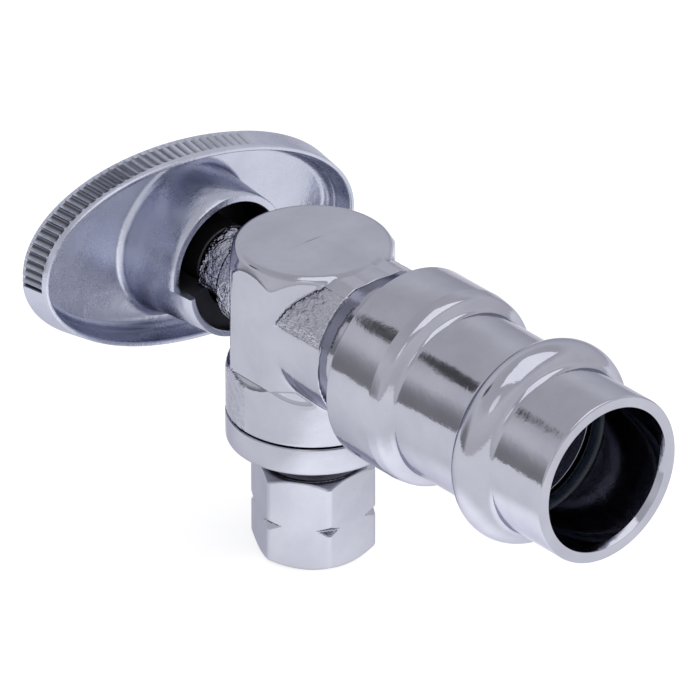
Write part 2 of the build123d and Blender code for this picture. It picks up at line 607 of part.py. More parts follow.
# oval dish with a crowned front, a hub, a stop tab and a drive core
with BuildPart() as handle:
    with BuildSketch(handle_plane(HANDLE_BACK)):
        Ellipse(HANDLE_BACK_HALF_LENGTH, HANDLE_BACK_HALF_WIDTH)
    with BuildSketch(handle_plane(HANDLE_SHOULDER)):
        Ellipse(HANDLE_HALF_LENGTH, HANDLE_HALF_WIDTH)
    loft()
    with BuildSketch(handle_plane(HANDLE_SHOULDER)):
        Ellipse(HANDLE_HALF_LENGTH, HANDLE_HALF_WIDTH)
    extrude(amount=HANDLE_CROWN)
    add(crown.part.moved(handle_plane(CROWN_CENTRE).location), mode=Mode.INTERSECT)
    # dish behind the crown
    with BuildSketch(handle_plane(HANDLE_BACK)):
        Ellipse(HANDLE_BACK_HALF_LENGTH - HANDLE_RIM_LIP, HANDLE_BACK_HALF_WIDTH - HANDLE_RIM_LIP)
    with BuildSketch(handle_plane(HANDLE_FLOOR)):
        Ellipse(HANDLE_FLOOR_HALF_LENGTH, HANDLE_FLOOR_HALF_WIDTH)
    loft(mode=Mode.SUBTRACT)
    with Locations(*flute_planes):
        Cylinder(FLUTE_RADIUS, FLUTE_LENGTH, mode=Mode.SUBTRACT)
    # hub skirt, cut back round the half that faces the stop lug's travel
    with BuildSketch(Plane.XY):
        with BuildLine():
            Polyline(
                (0, -HUB_END),
                (HUB_TIP_RADIUS, -HUB_END),
                (HUB_ROOT_RADIUS, -HANDLE_FLOOR),
                (HUB_ROOT_RADIUS, -HANDLE_FLOOR - HUB_ROOT_BITE),
                (0, -HANDLE_FLOOR - HUB_ROOT_BITE),
                close=True,
            )
        make_face()
    revolve(axis=Axis.Y)
    with BuildSketch(facing_handle(HUB_CAVITY_FLOOR)):
        Circle(HUB_BORE_RADIUS)
    extrude(amount=HUB_END - HUB_CAVITY_FLOOR, mode=Mode.SUBTRACT)
    with BuildSketch(facing_handle(HUB_WINDOW_END)):
        add(pie(2 * HUB_TIP_RADIUS, HUB_WINDOW_START_ANGLE, HUB_WINDOW_SWEEP))
    extrude(amount=HUB_END - HUB_WINDOW_END, mode=Mode.SUBTRACT)
    # stop tab inside the long half of the skirt, and the core that grips the stem
    with BuildSketch(facing_handle(HUB_CAVITY_FLOOR)):
        add(pie(HUB_BORE_RADIUS + HUB_ROOT_BITE, STOP_TAB_START_ANGLE, STOP_TAB_SWEEP))
        Circle(STOP_TAB_INNER_RADIUS, mode=Mode.SUBTRACT)
    extrude(amount=STOP_TAB_END - HUB_CAVITY_FLOOR)
    with BuildSketch(facing_handle(HUB_CAVITY_FLOOR)):
        Circle(HUB_CORE_RADIUS)
    extrude(amount=HUB_CORE_END - HUB_CAVITY_FLOOR)
    with BuildSketch(handle_plane(DRIVE_HOLE_FLOOR)):
        Rectangle(DRIVE_HOLE_SIZE, DRIVE_HOLE_SIZE)
    extrude(amount=HUB_CORE_END - DRIVE_HOLE_FLOOR, mode=Mode.SUBTRACT)
    # screw hole, and the pocket in the crown for the screw's head
    with BuildSketch(facing_handle(DRIVE_HOLE_FLOOR)):
        Circle(SCREW_HOLE_RADIUS)
    extrude(amount=HEAD_POCKET_FLOOR - DRIVE_HOLE_FLOOR, mode=Mode.SUBTRACT)
    with BuildSketch(facing_handle(HEAD_POCKET_FLOOR)):
        Circle(HEAD_POCKET_RADIUS)
    extrude(amount=HANDLE_CROWN, mode=Mode.SUBTRACT)
save(handle, "handle")

# ---------------------------------------------------------------- handle screw and its lock washer
with BuildPart() as screw_lock_washer:
    with BuildSketch(facing_handle(HEAD_POCKET_FLOOR)):
        Circle(LOCK_WASHER_RADIUS)
        Circle(SCREW_HOLE_RADIUS, mode=Mode.SUBTRACT)
    extrude(amount=LOCK_WASHER_FRONT - HEAD_POCKET_FLOOR)
save(screw_lock_washer, "screw_lock_washer")

with BuildPart() as handle_screw:
    with BuildSketch(facing_handle(SCREW_END)):
        Circle(SCREW_RADIUS)
    extrude(amount=LOCK_WASHER_FRONT - SCREW_END)
    with BuildSketch(facing_handle(LOCK_WASHER_FRONT)):
        Circle(SCREW_HEAD_RADIUS)
    extrude(amount=SCREW_HEAD_FRONT - LOCK_WASHER_FRONT)
    fillet(handle_screw.faces().sort_by(Axis.Y)[0].edges(), SCREW_HEAD_ROUND)
    # cross slot for the screwdriver
    with BuildSketch(facing_handle(SCREW_HEAD_FRONT)):
        Rectangle(SCREW_SLOT_LENGTH, SCREW_SLOT_WIDTH)
        Rectangle(SCREW_SLOT_WIDTH, SCREW_SLOT_LENGTH)
    extrude(amount=-SCREW_SLOT_DEPTH, mode=Mode.SUBTRACT)
save(handle_screw, "handle_screw")
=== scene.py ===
import json
import math

import bpy
import numpy as np
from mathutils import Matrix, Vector


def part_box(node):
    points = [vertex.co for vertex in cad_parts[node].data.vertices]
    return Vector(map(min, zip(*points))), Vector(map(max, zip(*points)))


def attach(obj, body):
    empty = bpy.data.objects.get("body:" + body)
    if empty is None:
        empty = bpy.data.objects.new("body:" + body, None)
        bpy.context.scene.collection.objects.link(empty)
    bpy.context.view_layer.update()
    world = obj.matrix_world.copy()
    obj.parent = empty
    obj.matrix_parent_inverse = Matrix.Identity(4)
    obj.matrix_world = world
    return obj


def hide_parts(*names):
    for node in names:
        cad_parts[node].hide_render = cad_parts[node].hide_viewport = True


# Looks of a chrome quarter-turn angle stop valve.  Lengths below are millimetres in the CAD frame:
# +Y leaves the inlet, -Z leaves the outlet, and the handle is at the -Y end.
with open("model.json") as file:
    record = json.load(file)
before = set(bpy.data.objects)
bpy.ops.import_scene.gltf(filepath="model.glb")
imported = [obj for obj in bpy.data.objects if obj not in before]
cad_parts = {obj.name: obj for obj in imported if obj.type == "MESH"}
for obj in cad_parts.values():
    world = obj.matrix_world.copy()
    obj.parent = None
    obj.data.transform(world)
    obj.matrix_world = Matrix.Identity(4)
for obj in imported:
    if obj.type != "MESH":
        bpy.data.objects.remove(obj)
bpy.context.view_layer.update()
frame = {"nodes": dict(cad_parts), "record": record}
MM = 0.001

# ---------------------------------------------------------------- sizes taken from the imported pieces


def low_high(node):
    """Lowest and highest corner of a CAD node, in millimetres."""
    low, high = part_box(node)
    return np.array(low) / MM, np.array(high) / MM


adapter_top = low_high("outlet_adapter")[1][2]
nut_low, nut_high = low_high("compression_nut")

BARREL_Y = float(np.mean([nut_low[1], nut_high[1]]))

# press inlet, radius and distance along Y
TUBE_RADIUS = 9.63
BORE_RADIUS = 8.0
MOUTH_INNER_RADIUS = 8.35
BEAD_Y = -10.9
BEAD_ROUND = 2.6
BEAD_RADIUS = 11.7
BEAD_ROOT_ROUND = 0.9
COLLAR_START = -24.1
COLLAR_RADIUS = 11.3
COLLAR_END = -33.0
RELIEF_RADIUS = 8.0
RELIEF_END = -37.4
TUBE_STOP = -21.0
TUBE_STOP_RADIUS = 6.9
PASSAGE_START = -24.0
PASSAGE_RADIUS = 5.2

# barrel, boss and neck
BARREL_RADIUS = 9.6
BARREL_TOP = 8.66
BARREL_BOTTOM = -12.0
TOP_DISC_RADIUS = 8.8
TOP_RIM_DEPTH = 0.6
TOP_CONE_DEPTH = 1.3
FLAT_FLOOR = -5.45
FLAT_RUNOUT_SLOPE = 1.36
# flats by direction in degrees and distance from the barrel's axis
FLATS = [(0, 9.05), (180, 9.05), (270, 9.05), (45, 8.8), (135, 8.8), (225, 8.8), (315, 8.8)]
BOSS_RADIUS = 8.65
BOSS_SHOULDER_RADIUS = 9.12
BOSS_PARTING_HEIGHT = 3.0
BOSS_TOP = 8.5
# the cast skin starts over the first height above the parting line and fades by this share near the top
SKIN_START = 0.4
SKIN_FADE_START, SKIN_FADE_LENGTH, SKIN_FADE = 1.1, 0.8, 0.8
NECK_RADIUS = 5.5
NECK_ROOT = 4.0
NECK_END = -58.6
LUG_RADIUS = 5.3
LUG_END = -61.9
LUG_ANGLES = (-6.0, 84.0)
STEM_COLLAR_RADIUS = 4.2
STEM_COLLAR_END = -62.8

# what is bored out of the casting
CHAMBER_RADIUS = 6.3
CHAMBER_TOP = 6.75
THREAD_BORE_RADIUS = 7.45
THREAD_BORE_TOP = -6.8
SEAL_RECESS_RADIUS = 8.7
SEAL_RECESS_TOP = -10.8
STEM_BORE_RADIUS = 3.0
STEM_RECESS_RADIUS = 4.1
STEM_RECESS_END = -56.3

# ---------------------------------------------------------------- mesh helpers


def new_piece(name, points, faces, body, slot, stands_for, normals=None, painted_shade=None, skin=None):
    """Add an object made of points in millimetres, riding on a CAD body in place of the CAD nodes named.

    Painted shade is how much painted shade darkens each point, and skin how much rough cast skin it has,
    from 0 to 1.
    """
    mesh = bpy.data.meshes.new(name)
    mesh.from_pydata((np.asarray(points) * MM).tolist(), [], faces)
    for attribute, values in (("painted_shade", painted_shade), ("skin", skin)):
        if values is not None:
            mesh.attributes.new(attribute, "FLOAT", "POINT").data.foreach_set("value", np.ravel(values))
    mesh.validate()
    mesh.polygons.foreach_set("use_smooth", [True] * len(mesh.polygons))
    if normals is None:
        mesh.set_sharp_from_angle(angle=math.radians(SHARP_ANGLE))
    else:
        mesh.normals_split_custom_set_from_vertices(normals.tolist())
    mesh.materials.append(finishes[slot])
    piece = bpy.data.objects.new(name, mesh)
    bpy.context.scene.collection.objects.link(piece)
    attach(piece, body)
    if stands_for:
        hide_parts(*stands_for)


def loop_faces(rows, columns, close_rows):
    """Quads of a grid whose columns run round in a circle, and its rows too when close_rows is set."""
    faces = []
    for row in range(rows if close_rows else rows - 1):
        here = row * columns
        there = ((row + 1) % rows) * columns
        for column in range(columns):
            beside = (column + 1) % columns
            faces.append((here + column, there + column, there + beside, here + beside))
    return faces


def arc(centre, radius, start, end, steps=10):
    """Points of an arc in a profile, by angle in degrees, each as (radius from the axis, station)."""
    angles = np.radians(np.linspace(start, end, steps + 1))
    return [(centre[0] + radius * math.cos(a), centre[1] + radius * math.sin(a)) for a in angles]


# edges sharper than this many degrees stay sharp
SHARP_ANGLE = 32
# profile corners flatter than this many degrees stay corners, and points nearer than this are one
NEARLY_STRAIGHT = 178
SAME_POINT = 0.0001
# the most of a profile's edge that the arc at one of its ends may take
ARC_SHARE = 0.49


def eased(corners, steps=5):
    """Closed profile from corners given as (radius, station, edge round), each one turned to an arc."""
    profile = []
    count = len(corners)
    for i in range(count):
        here = Vector(corners[i][:2])
        to_last = Vector(corners[i - 1][:2]) - here
        to_next = Vector(corners[(i + 1) % count][:2]) - here
        rounding = corners[i][2] if len(corners[i]) > 2 else 0
        turn = to_last.angle(to_next, math.pi) if to_last.length and to_next.length else math.pi
        if rounding == 0 or turn > math.radians(NEARLY_STRAIGHT):
            profile.append(tuple(here))
            continue
        reach = rounding / math.tan(turn / 2)
        reach = min(reach, ARC_SHARE * to_last.length, ARC_SHARE * to_next.length)
        start = here + to_last.normalized() * reach
        end = here + to_next.normalized() * reach
        for step in range(steps + 1):
            t = step / steps
            profile.append(tuple(start * (1 - t) ** 2 + here * 2 * t * (1 - t) + end * t**2))
    return [point for i, point in enumerate(profile) if math.dist(point, profile[i - 1]) > SAME_POINT]


def turned(profile, axis, segments=256):
    """Points and faces of a closed profile revolved about the inlet's axis (Y) or the barrel's (Z)."""
    radius, station = np.array(profile).T
    angle = np.linspace(0, 2 * math.pi, segments, endpoint=False)
    across = radius[:, None] * np.cos(angle)
    over = radius[:, None] * np.sin(angle)
    along = np.broadcast_to(station[:, None], across.shape)
    if axis == "Y":
        points = np.stack([over, along, across], -1)
    else:
        points = np.stack([across, over + BARREL_Y, along], -1)
    return points.reshape(-1, 3), loop_faces(len(profile), segments, True)


# how many times a vertex moves towards the surface, and how far each time as a share of a cell
SETTLING_MOVES = 8
LONGEST_MOVE = 0.6
# the squared slope of a field counts as at least this where two shapes blend
LEAST_SLOPE_SQUARED = 0.05


def surface_of(field, low, high, step):
    """Surface where field(x, y, z) is zero: a vertex for each crossed cell, moved onto the surface."""
    axes = [np.arange(a, b + step, step) for a, b in zip(low, high)]
    value = field(*np.meshgrid(*axes, indexing="ij"))
    inside = value < 0
    shape = tuple(n - 1 for n in value.shape)
    corner_count = np.zeros(shape, np.int8)
    corners = [(i, j, k) for i in (0, 1) for j in (0, 1) for k in (0, 1)]
    for i, j, k in corners:
        corner_count += inside[i : i + shape[0], j : j + shape[1], k : k + shape[2]]
    crossed = (corner_count > 0) & (corner_count < 8)
    cells = np.argwhere(crossed)
    index = np.full(shape, -1)
    index[crossed] = np.arange(len(cells))
    points = np.array(low) + (cells + 0.5) * step
    for _ in range(SETTLING_MOVES):
        distance = field(*points.T)
        slope = gradient_of(field, points)
        move = -slope * (distance / np.maximum((slope**2).sum(1), LEAST_SLOPE_SQUARED))[:, None]
        points = points + np.clip(move, -LONGEST_MOVE * step, LONGEST_MOVE * step)
    faces = []
    for axis in range(3):
        ahead = np.moveaxis(inside, axis, 0)
        flips = np.moveaxis(ahead[1:] != ahead[:-1], 0, axis)
        leaving = np.moveaxis(ahead[:-1], 0, axis)
        one, two = [a for a in range(3) if a != axis]
        edges = np.argwhere(flips)
        keep = (edges[:, one] > 0) & (edges[:, two] > 0)
        keep &= (edges[:, one] < shape[one]) & (edges[:, two] < shape[two])
        edges = edges[keep]
        outward = leaving[tuple(edges.T)]
        ring = []
        for back_one, back_two in ((1, 1), (0, 1), (0, 0), (1, 0)):
            cell = edges.copy()
            cell[:, one] -= back_one
            cell[:, two] -= back_two
            ring.append(index[tuple(cell.T)])
        quads = np.stack(ring, 1)
        turn = outward if axis != 1 else ~outward
        quads[~turn] = quads[~turn][:, ::-1]
        faces.append(quads)
    faces = np.concatenate(faces)
    slope = gradient_of(field, points)
    normals = slope / np.linalg.norm(slope, axis=1, keepdims=True)
    return points, faces.tolist(), normals


def gradient_of(field, points, reach=0.02):
    """Direction in which the field grows, by central differences."""
    slope = np.empty_like(points)
    for axis in range(3):
        offset = np.zeros(3)
        offset[axis] = reach
        slope[:, axis] = (field(*(points + offset).T) - field(*(points - offset).T)) / (2 * reach)
    return slope


def joined(a, b, blend):
    """Union of two distance fields with a fillet of about this radius where they meet."""
    share = np.clip(0.5 + 0.5 * (b - a) / blend, 0, 1)
    return b + (a - b) * share - blend * share * (1 - share)


def kept(a, b, blend):
    """Intersection of two distance fields with an eased edge."""
    return -joined(-a, -b, blend)


def cut(a, b, blend):
    """First field with the second one taken away, with an eased edge."""
    return -joined(-a, b, blend)


NOISE_CELLS = 32


def noise_field(points, size, seed):
    """Smooth noise from -1 to 1 with features of about this size, the same on every run."""
    table = np.random.default_rng(seed).uniform(-1, 1, (NOISE_CELLS, NOISE_CELLS, NOISE_CELLS))
    place = points / size
    base = np.floor(place).astype(int)
    part = place - base
    part = part * part * (3 - 2 * part)
    total = 0
    for i in (0, 1):
        for j in (0, 1):
            for k in (0, 1):
                cell = (base + (i, j, k)) % NOISE_CELLS
                corner = table[cell[:, 0], cell[:, 1], cell[:, 2]]
                share = np.where(i, part[:, 0], 1 - part[:, 0]) * np.where(j, part[:, 1], 1 - part[:, 1])
                total = total + corner * share * np.where(k, part[:, 2], 1 - part[:, 2])
    return total


# ---------------------------------------------------------------- materials


class Wiring:
    """A node tree, with a short way to add and link nodes."""

    def __init__(self, tree):
        self.tree = tree

    def connect(self, value, socket):
        """Link another node's output to a socket, or set the socket to a constant."""
        if isinstance(value, bpy.types.NodeSocket):
            self.tree.links.new(value, socket)
        else:
            socket.default_value = value

    def add(self, kind, inputs=(), **settings):
        """New node with its settings, and its inputs by name or by number."""
        node = self.tree.nodes.new(kind)
        for key, value in settings.items():
            setattr(node, key, value)
        for key, value in dict(inputs).items():
            self.connect(value, node.inputs[key])
        return node

    def maths(self, operation, *values):
        """One step of arithmetic."""
        node = self.add("ShaderNodeMath", dict(enumerate(values)), operation=operation)
        return node.outputs["Value"]

    def spread(self, value, low, high, out_low=0.0, out_high=1.0, curve="LINEAR"):
        """Value between low and high mapped to a new range."""
        node = self.add(
            "ShaderNodeMapRange",
            {"Value": value, "From Min": low, "From Max": high, "To Min": out_low, "To Max": out_high},
            interpolation_type=curve,
        )
        return node.outputs["Result"]


class Nodes(Wiring):
    """A material's node tree, fed by the place on the piece."""

    def __init__(self, name):
        self.material = bpy.data.materials.new(name)
        self.material.use_nodes = True
        super().__init__(self.material.node_tree)
        self.shader = self.tree.nodes["Principled BSDF"]
        self.place = self.add("ShaderNodeTexCoord").outputs["Object"]

    def noise(self, size, detail=3.0, roughness=0.55, stretch=(1, 1, 1)):
        """Noise from 0 to 1 with features of about this many millimetres, longer along a stretch."""
        scale = [1 / (size * MM * s) for s in stretch]
        mapping = self.add("ShaderNodeMapping", {"Vector": self.place, "Scale": scale})
        node = self.add(
            "ShaderNodeTexNoise",
            {"Vector": mapping.outputs["Vector"], "Scale": 1.0, "Detail": detail, "Roughness": roughness},
        )
        return node.outputs["Fac"]

    def painted(self, attribute):
        """Value that the mesh holds at each point."""
        return self.add("ShaderNodeAttribute", attribute_name=attribute).outputs["Fac"]

    def mix(self, share, first, second):
        """Colour between first and second."""
        node = self.add("ShaderNodeMix", {0: share}, data_type="RGBA")
        self.connect(first, node.inputs[6])
        self.connect(second, node.inputs[7])
        return node.outputs[2]

    def bump(self, height, depth, after=None):
        """Bump of this depth in millimetres, on top of another bump when one is given."""
        inputs = {"Height": height, "Distance": depth * MM, "Strength": 1.0}
        if after is not None:
            inputs["Normal"] = after
        return self.add("ShaderNodeBump", inputs).outputs["Normal"]

    def finish(self, tone, roughness, normal=None, metallic=1.0):
        """The material, with its colour, roughness and bump wired to the shader."""
        self.shader.inputs["Metallic"].default_value = metallic
        self.tree.links.new(tone, self.shader.inputs["Base Color"])
        self.tree.links.new(roughness, self.shader.inputs["Roughness"])
        if normal is not None:
            self.tree.links.new(normal, self.shader.inputs["Normal"])
        return self.material


def colour(red, green, blue):
    """Opaque colour in linear light."""
    return (red, green, blue, 1.0)


def chrome(name, tint, dark_tint, smoothest, roughest, ripple=0.004, streak=(1, 1, 1), painted_shade_and_skin=False):
    """Plated metal: cloudy tint, orange peel from the casting under it, fine pits and faint rub marks; when
    asked, painted shade from the mesh and its rough cast skin.
    """
    nodes = Nodes(name)
    clouds = nodes.noise(5.0, detail=4)
    rubbed = nodes.noise(0.35, detail=2, stretch=streak)
    pits = nodes.noise(0.16, detail=2)
    tone = nodes.mix(nodes.spread(clouds, 0.3, 0.7), dark_tint, tint)
    pit_mask = nodes.spread(pits, 0.70, 0.78)
    tone = nodes.mix(pit_mask, tone, [0.6 * c for c in dark_tint[:3]] + [1.0])
    cloudy = nodes.spread(clouds, 0.3, 0.7, smoothest, roughest)
    roughness = nodes.maths("ADD", cloudy, nodes.spread(rubbed, 0.45, 0.75, 0.0, 0.05))
    # painted shade: the mesh's painted shade values darken the tone towards near black, and roughen it
    if painted_shade_and_skin:
        painted_shade = nodes.painted("painted_shade")
        tone = nodes.mix(painted_shade, tone, PAINTED_SHADE)
        roughness = nodes.maths("ADD", roughness, nodes.spread(painted_shade, 0.0, 1.0, 0.0, 0.25))
    nodes.shader.inputs["Specular Tint"].default_value = EDGE_TINT
    peel = nodes.bump(nodes.noise(1.3, detail=2), ripple * 4)
    if painted_shade_and_skin:
        wrinkles = nodes.maths("MULTIPLY", nodes.noise(0.55, stretch=(1, 1.6, 1)), nodes.painted("skin"))
        peel = nodes.bump(wrinkles, SKIN_DEPTH, after=peel)
    rubs = nodes.bump(rubbed, ripple * 0.5, after=peel)
    return nodes.finish(tone, roughness, nodes.bump(pits, ripple * 0.9, after=rubs))


def rubber(name, tint, smoothest):
    """Moulded rubber: near black, a mottled bloom and a fine grain."""
    nodes = Nodes(name)
    bloom = nodes.noise(1.5, detail=4)
    grain = nodes.noise(0.12)
    lighter = [min(1, 1.8 * c + 0.01) for c in tint[:3]] + [1.0]
    tone = nodes.mix(nodes.spread(bloom, 0.45, 0.8), tint, lighter)
    roughness = nodes.spread(bloom, 0.3, 0.7, smoothest, smoothest + 0.15)
    return nodes.finish(tone, roughness, nodes.bump(grain, 0.01), metallic=0.0)


def turned_metal(name, tint, dark_tint, smoothest):
    """Bare machined metal: fine tool rings read as stretched noise, and a little tarnish."""
    nodes = Nodes(name)
    tarnish = nodes.noise(2.5, detail=4)
    rings = nodes.noise(0.2, detail=2, stretch=(8, 1, 8))
    tone = nodes.mix(nodes.spread(tarnish, 0.35, 0.75), tint, dark_tint)
    roughness = nodes.spread(rings, 0.3, 0.7, smoothest, smoothest + 0.18)
    return nodes.finish(tone, roughness, nodes.bump(rings, 0.012))


def seat_plastic(name):
    """Milky fluoroplastic with a waxy sheen and skim marks."""
    nodes = Nodes(name)
    milky = nodes.noise(1.8, detail=3)
    skim = nodes.noise(0.25, detail=2, stretch=(5, 5, 1))
    tone = nodes.mix(milky, colour(0.86, 0.86, 0.82), colour(0.93, 0.93, 0.90))
    roughness = nodes.spread(skim, 0.3, 0.7, 0.35, 0.5)
    return nodes.finish(tone, roughness, nodes.bump(skim, 0.008), metallic=0.0)


LAVENDER = colour(0.475, 0.48, 0.55)
LAVENDER_DARK = colour(0.415, 0.42, 0.49)
# near-black colour of the painted shade in bores, gaps, recesses and flutes
PAINTED_SHADE = colour(0.05, 0.05, 0.056)
EDGE_TINT = colour(0.62, 0.62, 0.68)
SKIN_DEPTH = 0.3
HANDLE_TINT = colour(0.57, 0.59, 0.69)
HANDLE_TINT_DARK = colour(0.47, 0.49, 0.59)
BALL_TINT = colour(0.8, 0.8, 0.82)
BALL_TINT_DARK = colour(0.74, 0.74, 0.77)

# one finish for each material slot of the record
finishes = {
    "body_chrome": chrome(
        "body_chrome", LAVENDER, LAVENDER_DARK, 0.05, 0.10, streak=(1, 12, 1), painted_shade_and_skin=True
    ),
    "nut_chrome": chrome("nut_chrome", LAVENDER, LAVENDER_DARK, 0.08, 0.14, streak=(6, 6, 1), painted_shade_and_skin=True),
    "adapter_chrome": chrome(
        "adapter_chrome", LAVENDER, LAVENDER_DARK, 0.07, 0.12, streak=(10, 10, 1), painted_shade_and_skin=True
    ),
    "handle_chrome": chrome(
        "handle_chrome", HANDLE_TINT, HANDLE_TINT_DARK, 0.20, 0.33, ripple=0.013, painted_shade_and_skin=True
    ),
    "ball_chrome": chrome("ball_chrome", BALL_TINT, BALL_TINT_DARK, 0.05, 0.1, ripple=0.001),
    "bare_brass": turned_metal("bare_brass", colour(0.74, 0.55, 0.26), colour(0.5, 0.36, 0.17), 0.25),
    "screw_steel": turned_metal("screw_steel", colour(0.56, 0.56, 0.57), colour(0.42, 0.42, 0.43), 0.3),
    "black_rubber": rubber("black_rubber", colour(0.018, 0.018, 0.019), 0.35),
    "blue_black_rubber": rubber("blue_black_rubber", colour(0.02, 0.03, 0.05), 0.22),
    "seat_plastic": seat_plastic("seat_plastic"),
}
# every CAD node takes its slot's finish; the shapes that need more detail are replaced below
for subpart in frame["record"]["subparts"]:
    cad_mesh = frame["nodes"][subpart["node"]].data
    cad_mesh.materials.clear()
    cad_mesh.materials.append(finishes[subpart["material_slot"]])

# ---------------------------------------------------------------- press inlet, turned
bead_centre = (BEAD_RADIUS - BEAD_ROUND, BEAD_Y)
# where a root fillet touches both the tube and the bead
fillet_rise = TUBE_RADIUS + BEAD_ROOT_ROUND - bead_centre[0]
fillet_reach = math.sqrt((BEAD_ROUND + BEAD_ROOT_ROUND) ** 2 - fillet_rise**2)
bead_edge_angle = math.degrees(math.atan2(fillet_reach, fillet_rise))
front_root = (TUBE_RADIUS + BEAD_ROOT_ROUND, BEAD_Y + fillet_reach)
back_root = (TUBE_RADIUS + BEAD_ROOT_ROUND, BEAD_Y - fillet_reach)
O_RING_GROOVE_CENTRE = 9.1
O_RING_GROOVE_ROUND = 1.3
# how dark the painted shade is in the bore and in the relief behind the collar
BORE_SHADE = 0.3
RELIEF_SHADE = 0.105

inlet_profile = eased(
    [
        (MOUTH_INNER_RADIUS, 0.0, 0.12),
        (TUBE_RADIUS, 0.0, 0.3),
        *arc(front_root, BEAD_ROOT_ROUND, 180, 180 + bead_edge_angle, 8),
        *arc(bead_centre, BEAD_ROUND, bead_edge_angle, -bead_edge_angle, 28),
        *arc(back_root, BEAD_ROOT_ROUND, 180 - bead_edge_angle, 180, 8),
        (TUBE_RADIUS, COLLAR_START + 0.2, 0.8),
        (COLLAR_RADIUS - 0.25, COLLAR_START - 0.6, 1.1),
        (COLLAR_RADIUS, COLLAR_START - 2.2, 1.0),
        (COLLAR_RADIUS, COLLAR_END, 0.3),
        (RELIEF_RADIUS, COLLAR_END, 0.15),
        (RELIEF_RADIUS, RELIEF_END - 0.1),
        (PASSAGE_RADIUS, RELIEF_END - 0.1),
        (PASSAGE_RADIUS, PASSAGE_START, 0.3),
        (TUBE_STOP_RADIUS, TUBE_STOP, 0.2),
        (BORE_RADIUS, TUBE_STOP, 0.15),
        (BORE_RADIUS, BEAD_Y - O_RING_GROOVE_ROUND, 0.15),
        *arc((O_RING_GROOVE_CENTRE, BEAD_Y), O_RING_GROOVE_ROUND, -90, 90, 14),
        (BORE_RADIUS, BEAD_Y + O_RING_GROOVE_ROUND, 0.15),
        (BORE_RADIUS, -0.8, 0.2),
    ]
)
points, faces = turned(inlet_profile, "Y")
# painted shade darkens the bore from just inside the mouth, and fainter painted shade lies in the relief
# behind the jaw collar
x, y, z = points.T
from_axis = np.hypot(x, z)
bore_shade = np.where(from_axis < TUBE_RADIUS - 0.03, np.clip((-1.0 - y) / 1.5, 0, 1), 0)
in_relief = (from_axis > RELIEF_RADIUS - 0.3) & (y < COLLAR_END + 0.2)
inlet_shade = np.where(in_relief, RELIEF_SHADE, BORE_SHADE * bore_shade)
new_piece("press_inlet", points, faces, "body", "body_chrome", ["valve_body"], painted_shade=inlet_shade)

# ---------------------------------------------------------------- barrel, boss and neck, forged
CASTING_STEP = 0.24
# cast roughness: depth, size and the seed of its noise
ROUGH_DEPTH, ROUGH_SIZE, ROUGH_SEED = 0.075, 0.7, 3
NECK_ROUGH_DEPTH, NECK_ROUGH_SIZE, NECK_ROUGH_SEED = 0.07, 1.43, 7
# the bore round the stem stays smooth up to this radius
STEM_CLEAR = 3.3


def barrel_distance(x, y, z):
    """Barrel: a cylinder with a coned top and flats that run out above its round foot."""
    radius = np.hypot(x, y - BARREL_Y)
    shape = kept(radius - BARREL_RADIUS, BARREL_BOTTOM - z, 0.4)
    for angle, distance in FLATS:
        outward = x * math.cos(math.radians(angle)) + (y - BARREL_Y) * math.sin(math.radians(angle))
        run_out = FLAT_FLOOR - FLAT_RUNOUT_SLOPE * (outward - distance) - z
        wedge = kept(distance - outward, run_out / math.hypot(1, FLAT_RUNOUT_SLOPE), 0.05)
        shape = cut(shape, wedge, 0.3)
    cone_rise = BARREL_RADIUS - TOP_DISC_RADIUS
    cone = (radius - TOP_DISC_RADIUS) * TOP_CONE_DEPTH + (z - BARREL_TOP + TOP_RIM_DEPTH) * cone_rise
    shape = kept(shape, cone / math.hypot(TOP_CONE_DEPTH, cone_rise), 0.2)
    return kept(shape, z - BARREL_TOP, 0.5)


def rough(x, y, z, size, seed):
    """Cast texture from -1 to 1: two sizes of smooth noise, the finer one fainter."""
    place = np.stack([np.ravel(x), np.ravel(y), np.ravel(z)], -1)
    waves = noise_field(place, size, seed) + 0.5 * noise_field(place, size / 2.3, seed + 1)
    return (waves / 1.5).reshape(np.shape(x))


def boss_distance(x, y, z):
    """Boss: round and smooth, with rough cast shoulders above its parting line that are level on top."""
    radius = np.hypot(x, z)
    between = np.maximum(BOSS_PARTING_HEIGHT - z, z - BOSS_TOP)
    shoulders = kept(radius - BOSS_SHOULDER_RADIUS, between, 0.12)
    near_top = np.clip((z - BOSS_TOP + SKIN_FADE_START) / SKIN_FADE_LENGTH, 0, 1)
    as_cast = np.clip((z - BOSS_PARTING_HEIGHT) / SKIN_START, 0, 1) * (1 - SKIN_FADE * near_top)
    shoulders = shoulders + ROUGH_DEPTH * rough(x, y, z, ROUGH_SIZE, ROUGH_SEED) * as_cast
    shape = np.minimum(radius - BOSS_RADIUS, shoulders)
    return kept(shape, np.maximum(y - RELIEF_END, BARREL_Y - y), 0.1)


def neck_distance(x, y, z):
    """Neck, the stop lug on a quarter of it and the thin collar round the stem."""
    radius = np.hypot(x, z)
    past_root = y - (BARREL_Y - NECK_ROOT)
    shape = kept(radius - NECK_RADIUS, np.maximum(NECK_END - y, past_root), 0.3)
    middle_angle = math.radians(sum(LUG_ANGLES) / 2)
    half_sweep = math.radians((LUG_ANGLES[1] - LUG_ANGLES[0]) / 2)
    along = x * math.cos(middle_angle) + z * math.sin(middle_angle)
    aside = np.abs(-x * math.sin(middle_angle) + z * math.cos(middle_angle))
    sector = aside * math.cos(half_sweep) - along * math.sin(half_sweep)
    lug = kept(kept(radius - LUG_RADIUS, np.maximum(LUG_END - y, past_root), 0.25), sector, 0.15)
    collar = kept(radius - STEM_COLLAR_RADIUS, np.maximum(STEM_COLLAR_END - y, past_root), 0.25)
    shape = joined(np.minimum(shape, lug), collar, 0.15)
    as_cast = np.clip((radius - STEM_CLEAR) / 0.5, 0, 1)
    waves = rough(x, y, z, NECK_ROUGH_SIZE, NECK_ROUGH_SEED)
    return shape + NECK_ROUGH_DEPTH * waves * as_cast


